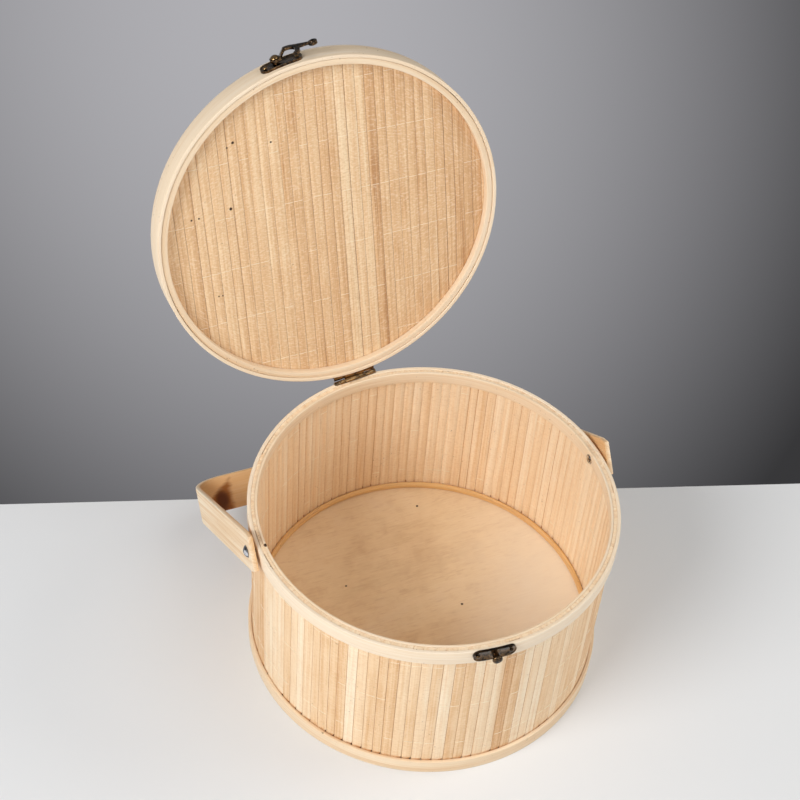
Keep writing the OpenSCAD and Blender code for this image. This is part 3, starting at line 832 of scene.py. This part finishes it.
def thread_tube(sheet, pts, radius, loop):
    """A thin tube along points; its section is square to the run."""
    following = np.roll(pts, -1, 0) if loop else np.vstack([pts[1:], pts[-1:]])
    before = np.roll(pts, 1, 0) if loop else np.vstack([pts[:1], pts[:-1]])
    run = following - before
    run /= np.linalg.norm(run, axis=1)[:, None] + 1e-12
    ref = np.array([0.0, 0.0, 1.0]) if abs(run[:, 2]).max() < 0.9 else np.array([1.0, 0.0, 0.0])
    a = np.cross(run, ref)
    a /= np.linalg.norm(a, axis=1)[:, None] + 1e-12
    b = np.cross(run, a)
    sides = 6
    ang = np.linspace(0, 2 * math.pi, sides, endpoint=False)
    ring = a[:, None] * np.cos(ang)[None, :, None] + b[:, None] * np.sin(ang)[None, :, None]
    across = np.linspace(0, sides * radius, sides + 1)
    along = np.arange(len(pts) + 1) * MM
    sheet.sweep(pts[:, None] + radius * ring, across, along, (0.1, 0.5, 0), loop=loop)


STITCH_ROWS = (27.5 * MM, 66.5 * MM, 105.0 * MM)    # heights on the wall
WALL_THREAD, LID_THREAD = 0.15 * MM, 0.14 * MM      # radii
LID_ROWS, LID_ROW_GAP, LID_ROW_SHIFT = range(-3, 3), 34.5, 16


def wall_threads():
    """Rows of stitches round the wall, outside and inside; each dips between two slats,
    and some pass behind the slat."""
    sheet = Sheet()
    g = np.random.default_rng(3)
    for row, z in enumerate(STITCH_ROWS):
        for side, skin, hidden in ((1, WALL.outer - 0.02 * MM, 0.35), (-1, WALL.inner + 0.02 * MM, 0.7)):
            pts = []
            for i in range(SLATS):
                start = i * PITCH
                dip, face, lift = skin - side * 0.55 * MM, skin, skin + side * 0.06 * MM
                h = z + 0.9 * MM * math.sin(start * 2 + row) + g.normal(0, 0.12) * MM
                if g.random() < hidden:
                    lift, face = dip, skin - side * 0.4 * MM
                for part, r in ((0.0, dip), (0.13, face), (0.5, lift), (0.87, face)):
                    t = start + part * PITCH
                    pts.append((r * math.cos(t), r * math.sin(t), h))
            thread_tube(sheet, np.array(pts), WALL_THREAD, True)
    fit(sheet.object("wall_sewing_threads", thread_mat, 80), "basket")


def lid_threads():
    """Straight rows of stitches across both layers of lid slats."""
    sheet = Sheet()
    g = np.random.default_rng(4)
    for face, sign, edge in ((LID_UNDER.bottom, -1, LID_UNDER.outer), (LID_TOP.top, 1, LID_TOP.outer)):
        for row in LID_ROWS:
            y = (row * LID_ROW_GAP + LID_ROW_SHIFT) * MM
            n = int(math.sqrt(max(0, (edge - 2 * MM) ** 2 - y * y)) / LID_PITCH)
            pts = []
            for i in range(-n, n + 1):
                h = y + g.normal(0, 0.1) * MM + 0.5 * MM * math.sin(i * 0.3 + row)
                lift = -0.4 * MM if g.random() < 0.42 else 0.04 * MM
                low = min(lift, 0.0)
                for part, rise in ((-0.5, -0.5 * MM), (-0.37, low), (0, lift), (0.37, low)):
                    pts.append(((i + part) * LID_PITCH, h, face + sign * rise))
            thread_tube(sheet, moved(np.array(pts), LID_PLACE), LID_THREAD, False)
    fit(sheet.object("lid_sewing_threads", thread_mat, 80), "lid")


wall_threads()
lid_threads()


# ---------------------------------------------------------------- metal fittings

TAB_LOW, TAB_HIGH = LID.bottom + 0.42 * MM, LID.bottom + 1.08 * MM  # a tab's two faces, lid shut
TAB_FROM, TAB_TO = 6.4 * MM, 13.4 * MM      # its ends along the pin
TAB_NEAREST = 1.2 * MM                      # how near it comes to the pin's middle plane
BARREL_CLEAR = 1.75 * MM                    # and to the middle of the barrel


def leaf_tabs(bm):
    """Fills the lid leaf out beside its knuckle, close up to the outer knuckles."""
    run = Vector((HINGE_AXIS.x, HINGE_AXIS.y, 0)).normalized()
    rise = HINGE_AXIS.z / math.hypot(HINGE_AXIS.x, HINGE_AXIS.y)
    away = Vector((HINGE_POS.x, HINGE_POS.y, 0)).dot(-GROOVE_SIDE)
    for lo, hi in ((-TAB_TO, -TAB_FROM), (TAB_FROM, TAB_TO)):
        rows = []
        for s in np.linspace(lo, hi, 8):
            dz = TAB_LOW - HINGE_POS.z - s * rise
            near = math.sqrt(max(TAB_NEAREST ** 2, BARREL_CLEAR ** 2 - dz * dz))
            here = HINGE_POS + run * s
            slip = run.dot(Vector((here.x, here.y, 0)))
            far = away - math.sqrt(LID.outer ** 2 - slip * slip)
            section = ((near, TAB_LOW), (far, TAB_LOW), (far, TAB_HIGH), (near, TAB_HIGH))
            rows.append([bm.verts.new(OPEN @ Vector((*(here + GROOVE_SIDE * q).xy, z)))
                         for q, z in section])
        for a, b in zip(rows, rows[1:]):
            for j in range(4):
                bm.faces.new((a[j], a[(j + 1) % 4], b[(j + 1) % 4], b[j]))
        bm.faces.new(rows[0][::-1])
        bm.faces.new(rows[-1])


def dished(co, turn):
    """Sinks a plate's outer face inside a raised edge; co is the plate as it lies round the axis,
    and turn takes it from there to where it stands."""
    cx, cy = co[:, 0].mean(), co[:, 1].mean()
    outward = (turn.to_3x3() @ Vector((cx, cy, 0))).normalized()

    def sink(bm):
        bmesh.ops.recalc_face_normals(bm, faces=bm.faces)
        bm.normal_update()
        face = [f for f in bm.faces if f.normal.dot(outward) > 0.985]
        bmesh.ops.inset_region(bm, faces=face, thickness=0.5 * MM, depth=-0.35 * MM,
                               use_even_offset=True, use_boundary=True)
    return sink


def softened(name, node, body, material, width, more=None):
    """A casting made from its CAD solid: the same form with rounded edges."""
    mesh = NODES[node].data.copy()
    mesh.name = name
    bm = bmesh.new()
    bm.from_mesh(mesh)
    bmesh.ops.remove_doubles(bm, verts=bm.verts, dist=2e-6)
    bmesh.ops.dissolve_limit(bm, angle_limit=math.radians(2), verts=bm.verts, edges=bm.edges)
    hard = [e for e in bm.edges if len(e.link_faces) == 2 and e.calc_face_angle(0) > math.radians(28)]
    bmesh.ops.bevel(bm, geom=hard, offset=width, offset_type="OFFSET", segments=3,
                    profile=0.5, affect="EDGES", clamp_overlap=True)
    if more:
        more(bm)
    bmesh.ops.recalc_face_normals(bm, faces=bm.faces)
    bm.to_mesh(mesh)
    bm.free()
    mesh.materials.clear()
    mesh.materials.append(material)
    shade(mesh, 35)
    fit(add_object(name, mesh), body, node)


softened("cast_keeper_plate", "keeper_plate", "basket", bronze_mat, 0.35 * MM,
         dished(verts_of("keeper_plate"), Matrix()))
softened("cast_hook_plate", "hook_plate", "lid", bronze_mat, 0.35 * MM,
         dished(shut_verts("hook_plate"), OPEN))
softened("cast_hook", "hook", "hook", bronze_mat, 0.5 * MM)
softened("hinge_leaf_on_basket", "hinge_body_leaf", "basket", pin_mat, 0.15 * MM)
softened("hinge_leaf_on_lid", "hinge_lid_leaf", "lid", pin_mat, 0.15 * MM, leaf_tabs)
softened("cast_keeper_knob", "keeper_knob", "basket", bronze_mat, 0.3 * MM)
for node in ("hinge_body_nails", "hinge_lid_nails", "hook_plate_nails", "hinge_pin", "hook_post"):
    keep(node, pin_mat)
keep("keeper_nails", bronze_mat)
keep("handle_rivets", steel_mat)
keep("base_board", plywood_mat)
keep("lid_core", plywood_mat)


# ---------------------------------------------------------------- floor, light and camera

TABLE_HALF = 6.0
TABLE_TURN = math.radians(16.97)    # the table's back edge runs askew to the basket
TABLE_BACK = 0.1077                 # how far behind the basket's axis it ends


def painted_ground_shade(n, past, side):
    """Painted shade on the glowing ground past the table: dark at the table's edge and at the sides,
    lighter far back.
    Places on it, back and sideways, count as shares of how far away they are, so both fade slowly."""
    edge, far, darkest = 87 / 255, 178 / 255, 60 / 255
    flat_from, middle, widest, fall = 0.405, -0.046, 0.306, 872 / 255
    lead, nearest = 1.0, 0.5        # metres in front of the basket that the distance is taken from
    away = n.math("MAXIMUM", n.plus(past, lead), nearest)
    short = n.math("MAXIMUM", n.minus(1.0, n.over(n.over(past, away), flat_from)), 0.0)
    tone = n.minus(far, n.times(n.times(short, short), far - edge))
    off = n.math("ABSOLUTE", n.minus(n.over(side, away), middle))
    off = n.math("MINIMUM", off, widest)
    tone = n.minus(tone, n.times(n.times(off, off), fall))
    return n.math("MAXIMUM", tone, darkest)


def floor():
    """Pale table, and past its back edge a grey ground that glows for the camera with painted shade and
    shows no shadow.
    """
    mesh = bpy.data.meshes.new("table")
    s = TABLE_HALF
    mesh.from_pydata([(-s, -s, 0), (s, -s, 0), (s, s, 0), (-s, s, 0)], [], [(0, 1, 2, 3)])
    obj = add_object("table", mesh)
    n = Nodes("table_top")
    co = n.place()
    x, y = n.split(co)[:2]
    c, t = math.cos(TABLE_TURN), math.sin(TABLE_TURN)
    past = n.plus(n.times(x, t), n.times(y, c))
    side = n.minus(n.times(x, c), n.times(y, t))
    cloud = n.noise(co, 3.0, 2, 0.5)
    pale = n.mix(cloud, srgb(227, 228, 229), srgb(233, 234, 235))
    top = n.add("ShaderNodeBsdfDiffuse")
    n.link(pale, top.inputs[0])
    tone = n.math("POWER", painted_ground_shade(n, past, side), 2.2)
    grey = n.mix(1.0, srgb(250, 249, 255), tone, "MULTIPLY")
    # the ground past the table glows for the camera, showing its painted shade
    painted_shading = n.add("ShaderNodeEmission")
    n.link(grey, painted_shading.inputs[0])
    camera_ray = n.add("ShaderNodeLightPath").outputs["Is Camera Ray"]
    seen = n.times(camera_ray, n.math("GREATER_THAN", past, TABLE_BACK))
    mix = n.add("ShaderNodeMixShader")
    n.link(seen, mix.inputs[0])
    n.link(top.outputs[0], mix.inputs[1])
    n.link(painted_shading.outputs[0], mix.inputs[2])
    n.link(mix.outputs[0], n.out.inputs[0])
    mesh.materials.append(n.mat)


def area(name, loc, size, power, color):
    """A round soft light that looks at the basket."""
    light = bpy.data.lights.new(name, "AREA")
    light.shape = "DISK"
    light.size = size
    light.energy = power
    light.color = color
    obj = add_object(name, light)
    obj.location = loc
    obj.rotation_euler = (Vector((0, 0, 0.1)) - Vector(loc)).to_track_quat("-Z", "Y").to_euler()


def studio():
    """The world: pale soft light from all round, and a plain grey where the camera sees it."""
    world = bpy.data.worlds.new("studio")
    bpy.context.scene.world = world
    world.use_nodes = True
    tree = world.node_tree
    tree.nodes.clear()
    out = tree.nodes.new("ShaderNodeOutputWorld")
    path = tree.nodes.new("ShaderNodeLightPath")
    room = tree.nodes.new("ShaderNodeBackground")
    room.inputs[0].default_value = (0.95, 0.97, 1.0, 1)
    room.inputs[1].default_value = 0.24
    seen = tree.nodes.new("ShaderNodeBackground")
    seen.inputs[0].default_value = srgb(150, 150, 156)
    mix = tree.nodes.new("ShaderNodeMixShader")
    tree.links.new(path.outputs["Is Camera Ray"], mix.inputs[0])
    tree.links.new(room.outputs[0], mix.inputs[1])
    tree.links.new(seen.outputs[0], mix.inputs[2])
    tree.links.new(mix.outputs[0], out.inputs[0])


def camera():
    """In front, a little to the left, and looking well down into the basket.
    The middle of the basket's foot lies aside and above (here below) the middle of the picture.
    These places are in radii of the wall."""
    lens, sensor = 74.25, 36
    away, aside, above, radius = 9.61, 0.121, -1.291, 0.110
    el, roll, az = math.radians(45.97), math.radians(-4.85), math.radians(-25.30)
    back = Vector((math.sin(az) * math.cos(el), -math.cos(az) * math.cos(el), math.sin(el)))
    level = (-back).cross(Vector((0, 0, 1))).normalized()
    up = level.cross(-back)
    right = math.cos(roll) * level - math.sin(roll) * up
    top = math.sin(roll) * level + math.cos(roll) * up
    cam = bpy.data.cameras.new("camera")
    cam.sensor_width = sensor
    cam.lens = lens
    cam.clip_start = 0.01
    obj = add_object("camera", cam)
    m = Matrix((right, top, back)).transposed().to_4x4()
    m.translation = (-aside * right - above * top + away * back) * radius
    obj.matrix_world = m
    bpy.context.scene.camera = obj


floor()
area("key_light", (-1.35, -0.45, 1.15), 1.0, 23, (0.99, 0.985, 0.98))
area("fill_light", (0.1, -1.7, 0.75), 1.4, 7, (0.99, 0.99, 0.99))
area("top_light", (0.6, -0.5, 1.9), 1.0, 3.5, (0.99, 0.99, 1.0))
area("side_light", (1.25, -0.3, 0.85), 0.9, 7, (1.0, 0.98, 0.94))
studio()
camera()
bpy.context.scene.view_settings.view_transform = "Standard"
